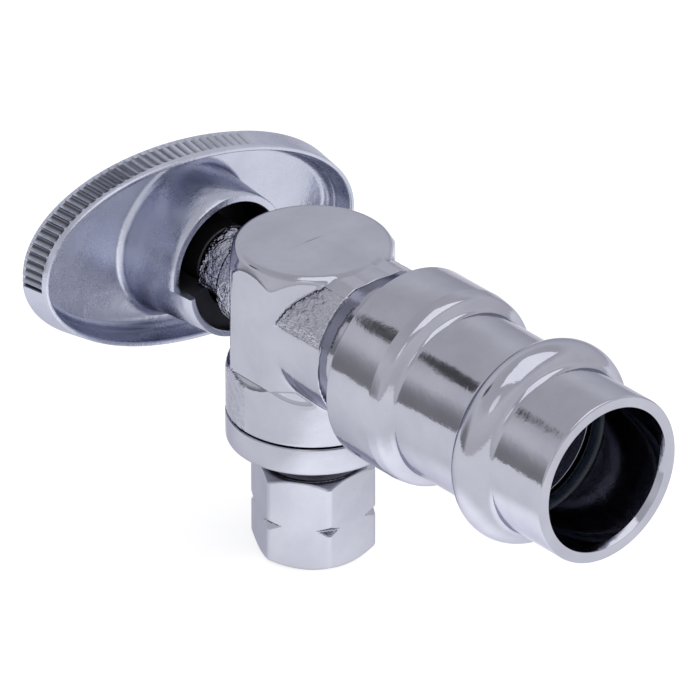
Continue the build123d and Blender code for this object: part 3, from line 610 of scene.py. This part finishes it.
def hollow_distance(x, y, z):
    """Everything bored out: passage, ball chamber, adapter's thread and seal recess, stem bore."""
    from_stem = np.hypot(x, z)
    from_barrel = np.hypot(x, y - BARREL_Y)
    passage = np.maximum(from_stem - PASSAGE_RADIUS, BARREL_Y - y)
    chamber = np.maximum(from_barrel - CHAMBER_RADIUS, z - CHAMBER_TOP)
    thread = np.maximum(from_barrel - THREAD_BORE_RADIUS, z - THREAD_BORE_TOP)
    recess = np.maximum(from_barrel - SEAL_RECESS_RADIUS, z - SEAL_RECESS_TOP)
    stem_bore = np.maximum(from_stem - STEM_BORE_RADIUS, y - BARREL_Y)
    shoulder = np.maximum(np.maximum(from_stem - STEM_RECESS_RADIUS, y - BARREL_Y), STEM_RECESS_END - y)
    return np.minimum.reduce([passage, chamber, thread, recess, stem_bore, shoulder])


def casting_distance(x, y, z):
    """Barrel, boss and neck in one, filleted where they meet, and bored out."""
    shape = joined(barrel_distance(x, y, z), boss_distance(x, y, z), 0.3)
    shape = joined(shape, neck_distance(x, y, z), 0.8)
    return cut(shape, hollow_distance(x, y, z), 0.2)


casting_low = (-BARREL_RADIUS - 0.9, STEM_COLLAR_END - 0.6, BARREL_BOTTOM - 0.6)
casting_high = (BARREL_RADIUS + 0.9, RELIEF_END + 0.6, BARREL_TOP + 0.6)
points, faces, normals = surface_of(casting_distance, casting_low, casting_high, CASTING_STEP)
# the boss's shoulders and the neck keep the rough skin of the casting
x, y, z = points.T
from_barrel, from_stem = np.hypot(x, y - BARREL_Y), np.hypot(x, z)
on_shoulder = (y > BARREL_Y) & (z > BOSS_PARTING_HEIGHT - 0.1) & (z < BOSS_TOP - 0.7)
on_shoulder &= (np.abs(from_stem - BOSS_SHOULDER_RADIUS) < 0.3) & (barrel_distance(x, y, z) > 0.15)
on_neck = (y < BARREL_Y) & (from_barrel > BARREL_RADIUS - 0.1) & (from_stem > STEM_CLEAR + 0.2)
skin = np.where(on_shoulder | on_neck, 1.0, 0.0)
new_piece("casting", points, faces, "body", "body_chrome", ["valve_body"], normals, skin=skin)

# ---------------------------------------------------------------- compression nut
# chamfers as (radius at the end face, depth); thread and cup as (radius, height of the lower end)
NUT_TURN = 5.0
NUT_FLAT = 6.2
NUT_CORNER_RADIUS = 7.1
NUT_TOP_CHAMFER = (6.1, 0.6)
NUT_BOTTOM_CHAMFER = (5.2, 1.2)
NUT_GROOVE_Z = -24.2
NUT_GROOVE_RADIUS = 6.48
NUT_THREAD = (5.57, -24.6)
NUT_CUP = (4.6, -25.6)
NUT_HOLE_RADIUS = 3.3
NUT_CONE_BOTTOM = -28.0
NUT_STEP = 0.17
# how dark the painted shade is in the nut's bore
NUT_BORE_SHADE = 0.9


def sloping(radius, beyond, start, end_radius):
    """Cone through a radius at an end face and another one some depth inside; beyond is past the face."""
    face_radius, depth = start
    widening = end_radius - face_radius
    return ((radius - face_radius) * depth + beyond * widening) / math.hypot(depth, widening)


def nut_distance(x, y, z):
    """Hexagon with chamfered ends and a groove that only cuts its corners, tapped for the adapter."""
    y = y - BARREL_Y
    radius = np.hypot(x, y)
    shape = np.full_like(radius, -100.0)
    for side in range(3):
        angle = math.radians(NUT_TURN + 30 + 60 * side)
        flat = np.abs(x * math.cos(angle) + y * math.sin(angle)) - NUT_FLAT
        shape = kept(shape, flat, 0.25) if side else flat
    shape = kept(shape, radius - NUT_CORNER_RADIUS, 0.15)
    top, bottom = nut_high[2], nut_low[2]
    shape = kept(shape, sloping(radius, z - top, NUT_TOP_CHAMFER, NUT_CORNER_RADIUS), 0.15)
    shape = kept(shape, sloping(radius, bottom - z, NUT_BOTTOM_CHAMFER, NUT_CORNER_RADIUS), 0.25)
    shape = kept(shape, np.maximum(z - top, bottom - z), 0.15)
    groove = (np.abs(z - NUT_GROOVE_Z) - (radius - NUT_GROOVE_RADIUS)) * math.sqrt(0.5)
    shape = cut(shape, groove, 0.06)
    thread = np.maximum(radius - NUT_THREAD[0], NUT_THREAD[1] - z)
    cup = np.maximum(radius - NUT_CUP[0], NUT_CUP[1] - z)
    cone = sloping(radius, z - NUT_CUP[1], (NUT_CUP[0], NUT_CUP[1] - NUT_CONE_BOTTOM), NUT_HOLE_RADIUS)
    cone = np.maximum(np.maximum(cone, radius - NUT_CUP[0]), z - NUT_CUP[1])
    bore = np.minimum.reduce([thread, cup, cone, radius - NUT_HOLE_RADIUS])
    return cut(shape, bore, 0.1)


points, faces, normals = surface_of(nut_distance, nut_low - 0.5, nut_high + 0.5, NUT_STEP)
# painted shade darkens the tapped bore and the chamfer above it
nut_radius = np.hypot(points[:, 0], points[:, 1] - BARREL_Y)
nut_shade = NUT_BORE_SHADE * (nut_radius < NUT_THREAD[0] + 0.3)
new_piece("hexagon_nut", points, faces, "nut", "nut_chrome", ["compression_nut"], normals, nut_shade)

# ---------------------------------------------------------------- outlet adapter with its thread
THREAD_PITCH = 1.058
THREAD_DEPTH = 0.45
THREAD_CREST = 5.5
THREAD_TOP = -16.7
ADAPTER_END = -23.4
WATERWAY_RADIUS = 2.6
PLUG_RADIUS = 7.4
FLANGE_RADIUS = 9.65
FLANGE_TOP = -12.12
FLANGE_BOTTOM = -15.57
UNDERCUT_RADIUS = 5.1
SLEEVE_SEAT_RADIUS = 4.35
SLEEVE_SEAT_END = -21.4
SOCKET_RADIUS = 3.25
SOCKET_FLOOR = -17.4
# half widths of the thread's foot and crest as shares of its pitch, and the turn that each end fades over
THREAD_FOOT, THREAD_LAND = 0.44, 0.09
THREAD_FADE = 0.4
# how dark the painted shade is below the flange and on the thread
ADAPTER_SHADE = 0.95
THREAD_SHADE = 0.5

adapter_profile = eased(
    [
        (WATERWAY_RADIUS, adapter_top, 0.1),
        (PLUG_RADIUS, adapter_top, 0.3),
        (PLUG_RADIUS, FLANGE_TOP, 0.1),
        (FLANGE_RADIUS, FLANGE_TOP, 0.22),
        (FLANGE_RADIUS, FLANGE_BOTTOM, 0.75),
        (UNDERCUT_RADIUS, FLANGE_BOTTOM, 0.3),
        (UNDERCUT_RADIUS, THREAD_TOP + 0.2, 0.1),
        (THREAD_CREST - THREAD_DEPTH, THREAD_TOP),
        (THREAD_CREST - THREAD_DEPTH, ADAPTER_END, 0.15),
        (SLEEVE_SEAT_RADIUS, ADAPTER_END, 0.1),
        (SOCKET_RADIUS, SLEEVE_SEAT_END, 0.1),
        (SOCKET_RADIUS, SOCKET_FLOOR, 0.05),
        (WATERWAY_RADIUS, SOCKET_FLOOR, 0.1),
    ]
)
points, faces = turned(adapter_profile, "Z")
# painted shade darkens the adapter below the flange, in the gap above the nut
adapter_radius = np.hypot(points[:, 0], points[:, 1] - BARREL_Y)
below_flange = (points[:, 2] < FLANGE_BOTTOM + 0.07) & (adapter_radius < THREAD_CREST)
adapter_shade = ADAPTER_SHADE * below_flange
new_piece("adapter", points, faces, "body", "adapter_chrome", ["outlet_adapter"], painted_shade=adapter_shade)


def thread_ridge(root, depth, top, bottom, pitch, steps=72):
    """Closed ridge with a blunt crest wound down the barrel's axis, fading in and out over its ends."""
    count = int((top - bottom - pitch) / pitch * steps)
    buried = root - 0.05
    points = []
    for step in range(count + 1):
        angle = 2 * math.pi * step / steps
        height = top - pitch / 2 - pitch * step / steps
        fade = min(1, step / (THREAD_FADE * steps), (count - step) / (THREAD_FADE * steps))
        crest = buried + max(0.06, depth * fade + 0.05)
        for radius, rise in (
            (buried, THREAD_FOOT),
            (crest, THREAD_LAND),
            (crest, -THREAD_LAND),
            (buried, -THREAD_FOOT),
        ):
            place = (radius * math.cos(angle), BARREL_Y + radius * math.sin(angle), height + rise * pitch)
            points.append(place)
    faces = [(3, 2, 1, 0)]
    for step in range(count):
        here = 4 * step
        for side in range(4):
            beside = (side + 1) % 4
            faces.append((here + side, here + beside, here + 4 + beside, here + 4 + side))
    last = 4 * count
    faces.append((last, last + 1, last + 2, last + 3))
    return points, faces


thread_root = THREAD_CREST - THREAD_DEPTH
points, faces = thread_ridge(thread_root, THREAD_DEPTH, THREAD_TOP, ADAPTER_END, THREAD_PITCH)
# painted shade over the whole thread, in the gap between the flange and the nut
thread_shade = np.full(len(points), THREAD_SHADE)
new_piece("adapter_thread", points, faces, "body", "adapter_chrome", [], painted_shade=thread_shade)

# ---------------------------------------------------------------- handle
# distances such as BACK and FLOOR are behind the inlet's mouth, along -Y
TILT = 9.2
HALF_LENGTH, HALF_WIDTH = 22.86, 11.89
BACK_HALF_LENGTH, BACK_HALF_WIDTH = 22.26, 11.32
OVAL_FULLNESS = 2.06
BACK, SHOULDER, CROWN = 67.4, 70.8, 3.35
CROWN_FLATNESS, CROWN_EDGE = 2.6, 0.62
RIM_LIP = 0.5
FLOOR_HALF_LENGTH, FLOOR_HALF_WIDTH, FLOOR, FLOOR_ROUND = 21.1, 10.25, 71.0, 1.2
FLUTE_TIP_PITCH, FLUTE_SIDE_PITCH = 0.95, 1.13
FLUTE_DEPTH, FLUTE_LENGTH, FLUTE_EASE = 0.42, 2.65, 0.35
FLUTE_HALF_SHARE = 0.44
COLUMNS_PER_FLUTE = 8
EDGE_GAP = 0.0006
# where each stretch of flutes starts, in degrees round the oval, and how many it has
FLUTE_STRETCHES = [(-8.9, 35), (171.1, 35)]
HUB_TIP_RADIUS, HUB_ROOT_RADIUS, HUB_BORE_RADIUS, HUB_ROOT_FILLET = 7.8, 8.7, 7.1, 1.0
HUB_END, WINDOW_END, CAVITY_FLOOR = 60.0, 62.7, 68.4
# edge angles in degrees round the stem, seen from the handle side
WINDOW_ANGLES = (-7.0, 173.0)
TAB_ANGLES = (175.0, 353.0)
TAB_RADIUS, TAB_END = 4.6, 60.9
CORE_RADIUS, CORE_END = 4.1, 63.2
DRIVE_HALF, DRIVE_FLOOR = 2.05, 69.8
POCKET_RADIUS, POCKET_FLOOR = 3.5, 71.8
SCREW_HOLE_RADIUS = 1.65
# how dark the painted shade is inside the hub
HUB_SHADE = 0.97


def oval_radius(angle, half_length, half_width, fullness=OVAL_FULLNESS):
    """Distance from the stem's axis to an oval a little fuller than an ellipse, by direction."""
    along = np.abs(np.cos(angle) / half_length) ** fullness
    across = np.abs(np.sin(angle) / half_width) ** fullness
    return (along + across) ** (-1 / fullness)


def flute_columns():
    """Directions for the columns of the handle's mesh, and how deep in a flute each is, from 0 to 1."""
    start = math.radians(FLUTE_STRETCHES[0][0])
    travel = [start]
    flutes_gone_by = [0.0]
    while travel[-1] < start + 2 * math.pi:
        angle = travel[-1]
        speed = math.hypot(HALF_LENGTH * math.sin(angle), HALF_WIDTH * math.cos(angle))
        pitch = FLUTE_TIP_PITCH + (FLUTE_SIDE_PITCH - FLUTE_TIP_PITCH) * math.sin(angle) ** 2
        travel.append(angle + pitch / COLUMNS_PER_FLUTE / speed)
        flutes_gone_by.append(flutes_gone_by[-1] + 1 / COLUMNS_PER_FLUTE)
    travel = np.array(travel[:-1])
    flutes_gone_by = np.array(flutes_gone_by[:-1])
    depth = np.zeros(len(travel))
    for angle, count in FLUTE_STRETCHES:
        phase = flutes_gone_by - np.interp(math.radians(angle), travel, flutes_gone_by)
        within = (phase > -0.5) & (phase < count - 0.5)
        hollow = np.sqrt(np.maximum(0, 1 - ((phase - np.round(phase)) / FLUTE_HALF_SHARE) ** 2))
        depth = np.where(within, hollow, depth)
    direction = np.arctan2(HALF_WIDTH * np.sin(travel), HALF_LENGTH * np.cos(travel))
    return np.unwrap(direction), depth


oval_direction, flute_depth = flute_columns()
world_direction = oval_direction + math.radians(TILT)
# the window in the skirt and the stop tab begin and end on columns of their own
start = world_direction[0]
extra = []
for edge in sorted({angle % 360 for angle in (*WINDOW_ANGLES, *TAB_ANGLES)}):
    turned_edge = start + (math.radians(edge) - start) % (2 * math.pi)
    extra += [turned_edge - EDGE_GAP, turned_edge + EDGE_GAP]
direction = np.sort(np.concatenate([world_direction, extra]))
flute_depth = np.interp(direction, world_direction, flute_depth)
in_oval = direction - math.radians(TILT)


def within(edges):
    """Which columns lie between two angles, seen from the handle side."""
    sweep = math.radians(edges[1] - edges[0])
    return (direction - math.radians(edges[0])) % (2 * math.pi) < sweep


in_window = within(WINDOW_ANGLES)
in_tab = within(TAB_ANGLES)
skirt_end = np.where(in_window, WINDOW_END, HUB_END)
tab_end = np.where(in_tab, TAB_END, CAVITY_FLOOR)
square_turn = (in_oval + math.pi / 4) % (math.pi / 2) - math.pi / 4
square_radius = DRIVE_HALF / np.cos(square_turn)
rows = []


def row(radius, behind):
    """One loop of the handle's surface: how far from the stem's axis and how far behind the mouth."""
    rows.append((np.broadcast_to(radius, direction.shape), np.broadcast_to(behind, direction.shape)))


def side_oval(behind, inset=0.0):
    """The oval side wall at a distance behind the mouth: it widens towards the front."""
    share = (behind - BACK) / (SHOULDER - BACK)
    half_length = BACK_HALF_LENGTH + share * (HALF_LENGTH - BACK_HALF_LENGTH)
    half_width = BACK_HALF_WIDTH + share * (HALF_WIDTH - BACK_HALF_WIDTH)
    return oval_radius(in_oval, half_length - inset, half_width - inset)


# front: screw hole, screw head pocket, then the crown out to the shoulder
row(SCREW_HOLE_RADIUS, DRIVE_FLOOR)
row(SCREW_HOLE_RADIUS, POCKET_FLOOR)
row(POCKET_RADIUS - 0.2, POCKET_FLOOR)
row(POCKET_RADIUS, POCKET_FLOOR + 0.2)
shoulder_oval = side_oval(SHOULDER)


def crown_height(radius):
    """How far the front face stands at this distance from the stem's axis."""
    share = np.clip(radius / shoulder_oval, 0, 1)
    return SHOULDER + CROWN * (1 - share**CROWN_FLATNESS) ** CROWN_EDGE


crown_start = POCKET_RADIUS + 0.25
row(POCKET_RADIUS, crown_height(crown_start) - 0.2)
for share in np.linspace(0, 1, 34) ** 0.8:
    radius = crown_start * (1 - share) + shoulder_oval * 0.9999 * share
    row(radius - FLUTE_DEPTH * flute_depth * (share == 1), crown_height(radius))

# side wall with its finger flutes, from the shoulder to the back edge
first_wall_row = len(rows)
fluted_wall = np.linspace(SHOULDER, SHOULDER - FLUTE_LENGTH - 0.1, 16)
for behind in (*fluted_wall, BACK + 0.5, BACK + 0.15):
    share = min(1, max(0, (behind - SHOULDER + FLUTE_LENGTH) / FLUTE_EASE))
    row(side_oval(behind) - FLUTE_DEPTH * flute_depth * math.sqrt(share), behind)
last_wall_row = len(rows)

# back edge, its thin lip and the dish, down to the floor
row(side_oval(BACK, 0.04), BACK + 0.04)
row(side_oval(BACK, 0.15), BACK)
row(side_oval(BACK, RIM_LIP - 0.12), BACK)
row(side_oval(BACK, RIM_LIP), BACK + 0.12)
back_inner = side_oval(BACK, RIM_LIP)
floor_oval = oval_radius(in_oval, FLOOR_HALF_LENGTH, FLOOR_HALF_WIDTH)
for share in np.linspace(0.1, 0.62, 6):
    row(back_inner * (1 - share) + floor_oval * share, BACK + share * (FLOOR - BACK))
for turn in np.linspace(0, 1, 9):
    angle = turn * math.pi / 2
    inset = FLOOR_ROUND * (1 - math.cos(angle)) * 0.9
    row(floor_oval + 0.12 - inset, FLOOR - FLOOR_ROUND + FLOOR_ROUND * math.sin(angle))
root_edge = HUB_ROOT_RADIUS + HUB_ROOT_FILLET
for share in np.linspace(0.12, 0.88, 7):
    row((floor_oval - FLOOR_ROUND) * (1 - share) + root_edge * share, FLOOR)
for turn in np.linspace(0, 1, 8):
    angle = turn * math.pi / 2
    row(root_edge - HUB_ROOT_FILLET * math.sin(angle), FLOOR - HUB_ROOT_FILLET * (1 - math.cos(angle)))

# hub skirt, over its tip and down its bore
hub_slope = (HUB_ROOT_RADIUS - HUB_TIP_RADIUS) / (FLOOR - HUB_END)
for share in np.linspace(0.1, 1, 8):
    behind = (FLOOR - HUB_ROOT_FILLET) * (1 - share) + (skirt_end + 0.2) * share
    row(HUB_TIP_RADIUS + hub_slope * (behind - HUB_END), behind)
tip_radius = HUB_TIP_RADIUS + hub_slope * (skirt_end - HUB_END)
row(tip_radius - 0.06, skirt_end + 0.06)
row(tip_radius - 0.2, skirt_end)
row(HUB_BORE_RADIUS + 0.12, skirt_end)
row(HUB_BORE_RADIUS, skirt_end + 0.12)
row(HUB_BORE_RADIUS, np.maximum(tab_end - 0.02, skirt_end + 0.2))
row(HUB_BORE_RADIUS - 0.02, np.maximum(tab_end, skirt_end + 0.22))
row(TAB_RADIUS + 0.1, tab_end)
row(TAB_RADIUS, np.minimum(tab_end + 0.1, CAVITY_FLOOR))
row(TAB_RADIUS - 0.02, CAVITY_FLOOR)
# drive core with its square hole
row(CORE_RADIUS, CAVITY_FLOOR)
row(CORE_RADIUS, CORE_END + 0.15)
row(CORE_RADIUS - 0.15, CORE_END)
row(square_radius + 0.1, CORE_END)
row(square_radius, CORE_END + 0.1)
row(square_radius, DRIVE_FLOOR)

radius = np.array([r for r, _ in rows])
behind = np.array([b for _, b in rows])
points = np.stack([radius * np.cos(direction), -behind, radius * np.sin(direction)], -1).reshape(-1, 3)
faces = loop_faces(len(rows), len(direction), True)
# painted shade darkens the flutes, most at the oval's ends, and darkens the inside of the hub near to black
row_number = np.arange(len(rows))
wall_rows = (row_number >= first_wall_row) & (row_number < last_wall_row)
fluted_rows = wall_rows & (behind.min(1) > SHOULDER - FLUTE_LENGTH)
in_flute = np.clip(flute_depth * 3 - 2, 0, 1) * fluted_rows[:, None]
in_hub = (radius < HUB_BORE_RADIUS + 0.05) & (behind < DRIVE_FLOOR) & (behind > HUB_END + 0.3)
end_shade = 0.6 + 0.37 * np.cos(in_oval) ** 2
handle_shade = np.maximum(end_shade * in_flute, HUB_SHADE * in_hub)
new_piece("oval_handle", points, faces, "handle", "handle_chrome", ["handle"], painted_shade=handle_shade)

# ---------------------------------------------------------------- floor, light and camera
FLOOR_REACH = 0.33
FLOOR_LEVEL = (nut_low[2] - 0.05) * MM
FLOOR_TONES = (colour(0.55, 0.55, 0.55), colour(0.57, 0.57, 0.57))
FLOOR_GLOW = 0.64
# a painted pool of light on the floor beside the outlet: the floor glows brighter there
PAINTED_POOL_PLACE = (0.012, -0.022, FLOOR_LEVEL)
PAINTED_POOL_INNER, PAINTED_POOL_OUTER = 0.012, 0.034
PAINTED_POOL_GLOW = 0.55


def pale_floor():
    """Matt floor that glows a little by itself, and more in a painted pool of light."""
    nodes = Nodes("pale_floor")
    tone = nodes.mix(nodes.noise(40.0), *FLOOR_TONES)
    roughness = nodes.spread(nodes.noise(15.0), 0.3, 0.7, 0.85, 0.95)
    from_painted_pool = nodes.add("ShaderNodeVectorMath", {0: nodes.place, 1: PAINTED_POOL_PLACE}, operation="DISTANCE")
    glow = nodes.spread(
        from_painted_pool.outputs["Value"], PAINTED_POOL_INNER, PAINTED_POOL_OUTER, FLOOR_GLOW + PAINTED_POOL_GLOW, FLOOR_GLOW, "SMOOTHSTEP"
    )
    nodes.connect(glow, nodes.shader.inputs["Emission Strength"])
    nodes.connect(colour(1.0, 1.0, 1.0), nodes.shader.inputs["Emission Color"])
    nodes.connect(0.0, nodes.shader.inputs["Specular IOR Level"])
    return nodes.finish(tone, roughness, metallic=0.0)


corners = [(x, y, FLOOR_LEVEL) for x, y in ((-1, -1), (1, -1), (1, 1), (-1, 1))]
corners = [(x * FLOOR_REACH, y * FLOOR_REACH, z) for x, y, z in corners]
floor_mesh = bpy.data.meshes.new("floor")
floor_mesh.from_pydata(corners, [], [(0, 1, 2, 3)])
floor_mesh.materials.append(pale_floor())
floor = bpy.data.objects.new("floor", floor_mesh)
bpy.context.scene.collection.objects.link(floor)

# brightness of the light tent by height: 0 at the horizon, 1 straight up
TENT = [(0.0, 0.78), (0.25, 0.84), (0.48, 0.88), (0.72, 0.70), (1.0, 0.64)]
TENT_TINT = colour(0.985, 0.985, 1.0)
# cards in the tent: azimuth, elevation, reach and soft edge in degrees, and gain
CARDS = [(-41, -4, 7, 22, 0.42), (-60, 40, 4, 4, 0.15), (39, 43, 7, 4, 1.75)]


def facing(azimuth, elevation):
    """Unit vector towards an azimuth from +X and an elevation, in degrees."""
    turn, rise = math.radians(azimuth), math.radians(elevation)
    return Vector((math.cos(turn) * math.cos(rise), math.sin(turn) * math.cos(rise), math.sin(rise)))


def light_tent():
    """World lit by height above the horizon, with soft dark and bright cards in it."""
    world = bpy.data.worlds.new("tent")
    bpy.context.scene.world = world
    world.use_nodes = True
    wiring = Wiring(world.node_tree)
    direction = wiring.add("ShaderNodeTexCoord").outputs["Generated"]
    height = wiring.add("ShaderNodeSeparateXYZ", {"Vector": direction}).outputs["Z"]
    ramp = wiring.add("ShaderNodeValToRGB", {"Fac": height})
    ramp.color_ramp.interpolation = "EASE"
    stops = ramp.color_ramp.elements
    for stop, (place, glow) in zip(stops, (TENT[0], TENT[-1])):
        stop.position = place
        stop.color = colour(glow, glow, glow)
    for place, glow in TENT[1:-1]:
        stops.new(place).color = colour(glow, glow, glow)
    # the ramp's grey as a plain number
    light = wiring.maths("MULTIPLY", ramp.outputs["Color"], 1.0)
    for azimuth, elevation, reach, edge, gain in CARDS:
        towards = facing(azimuth, elevation)
        dot = wiring.add("ShaderNodeVectorMath", {0: direction, 1: towards}, operation="DOT_PRODUCT")
        outer = math.cos(math.radians(reach + edge))
        inner = math.cos(math.radians(reach))
        card = wiring.spread(dot.outputs["Value"], outer, inner, 0.0, gain - 1, "SMOOTHSTEP")
        light = wiring.maths("MULTIPLY", light, wiring.maths("ADD", card, 1.0))
    background = wiring.tree.nodes["Background"]
    wiring.connect(light, background.inputs["Strength"])
    wiring.connect(TENT_TINT, background.inputs["Color"])


light_tent()


def softbox(name, place, size, power, aim=(0, -0.04, 0)):
    """Rectangular area light, in metres, aimed at a point on the valve."""
    data = bpy.data.lights.new(name, "AREA")
    data.shape = "RECTANGLE"
    data.size, data.size_y = size
    data.energy = power
    lamp = bpy.data.objects.new(name, data)
    bpy.context.scene.collection.objects.link(lamp)
    lamp.location = place
    lamp.rotation_euler = (Vector(aim) - Vector(place)).to_track_quat("-Z", "Y").to_euler()


softbox("top_box", place=(-0.1, 0.1, 0.6), size=(0.6, 0.6), power=0.95)

# long lens, looking down at the inlet from its front right, as in the photograph
CAMERA_AZIMUTH, CAMERA_ELEVATION = 139.66, 29.40
CAMERA_DISTANCE = 1.030
CAMERA_ASIDE, CAMERA_RISE = -0.02732, 0.01379
CAMERA_LENS, CAMERA_SENSOR = 500.4, 36.0
back = facing(CAMERA_AZIMUTH - 90, CAMERA_ELEVATION)
right = facing(CAMERA_AZIMUTH, 0)
up = back.cross(right)
camera_data = bpy.data.cameras.new("camera")
camera_data.lens = CAMERA_LENS
camera_data.sensor_width = CAMERA_SENSOR
camera_data.clip_end = 20.0
camera = bpy.data.objects.new("camera", camera_data)
bpy.context.scene.collection.objects.link(camera)
camera.location = back * CAMERA_DISTANCE + right * CAMERA_ASIDE + up * CAMERA_RISE
camera.rotation_euler = back.to_track_quat("Z", "Y").to_euler()
bpy.context.scene.camera = camera
bpy.context.scene.view_settings.view_transform = "Standard"
